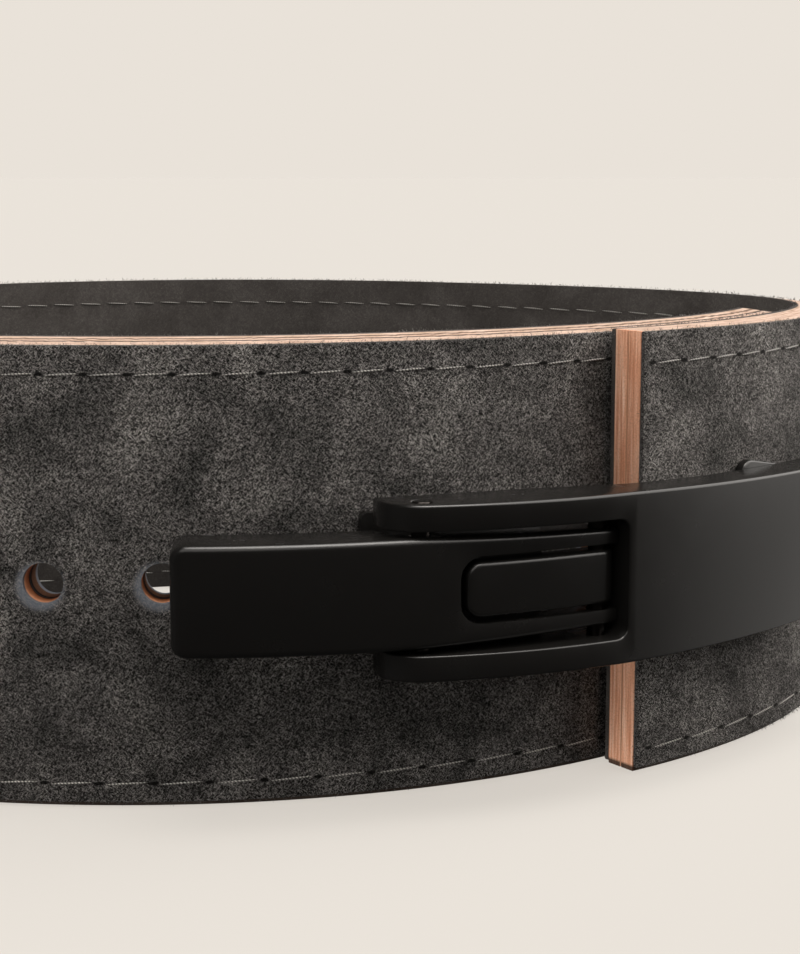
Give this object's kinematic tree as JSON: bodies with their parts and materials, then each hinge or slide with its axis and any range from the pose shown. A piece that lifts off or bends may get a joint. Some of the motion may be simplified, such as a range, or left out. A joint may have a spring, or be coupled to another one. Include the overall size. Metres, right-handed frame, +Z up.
{
  "type": "weightlifting belt",
  "caption": "Suede-faced leather weightlifting belt in a closed loop, standing on its lower edge and fastened by a matte black lever buckle.",
  "frame": {"origin": "middle of the belt's box in X and Y, on the ground that its lower edge stands on", "axes": "+Z up, +X along the belt's width to the buckle end, and -Y towards the side that carries the buckle"},
  "size_m": [0.3216, 0.2566, 0.1013],
  "materials": {
    "suede": "dark grey napped suede",
    "leather": "undyed tan leather, cut edges",
    "black_metal": "matte black coating",
    "steel": "dark oiled steel"
  },
  "bodies": {
    "belt": {"suede_outer": "suede", "core_outer": "leather", "core_inner": "leather", "suede_inner": "suede", "base_plate": "black_metal", "mount_screw_1": "steel", "mount_screw_2": "steel", "frame": "black_metal", "hook_plate": "black_metal", "hook_pin": "steel", "tongue": "black_metal", "hinge_pin": "steel"},
    "lever": {"lever": "black_metal"}
  },
  "joints": [
    {"name": "lever_hinge", "type": "hinge", "parent": "belt", "child": "lever", "pos_m": [0.08749, -0.09973, 0.0494], "axis": [0, 0, 1], "range_deg": [0, 90]}
  ]
}
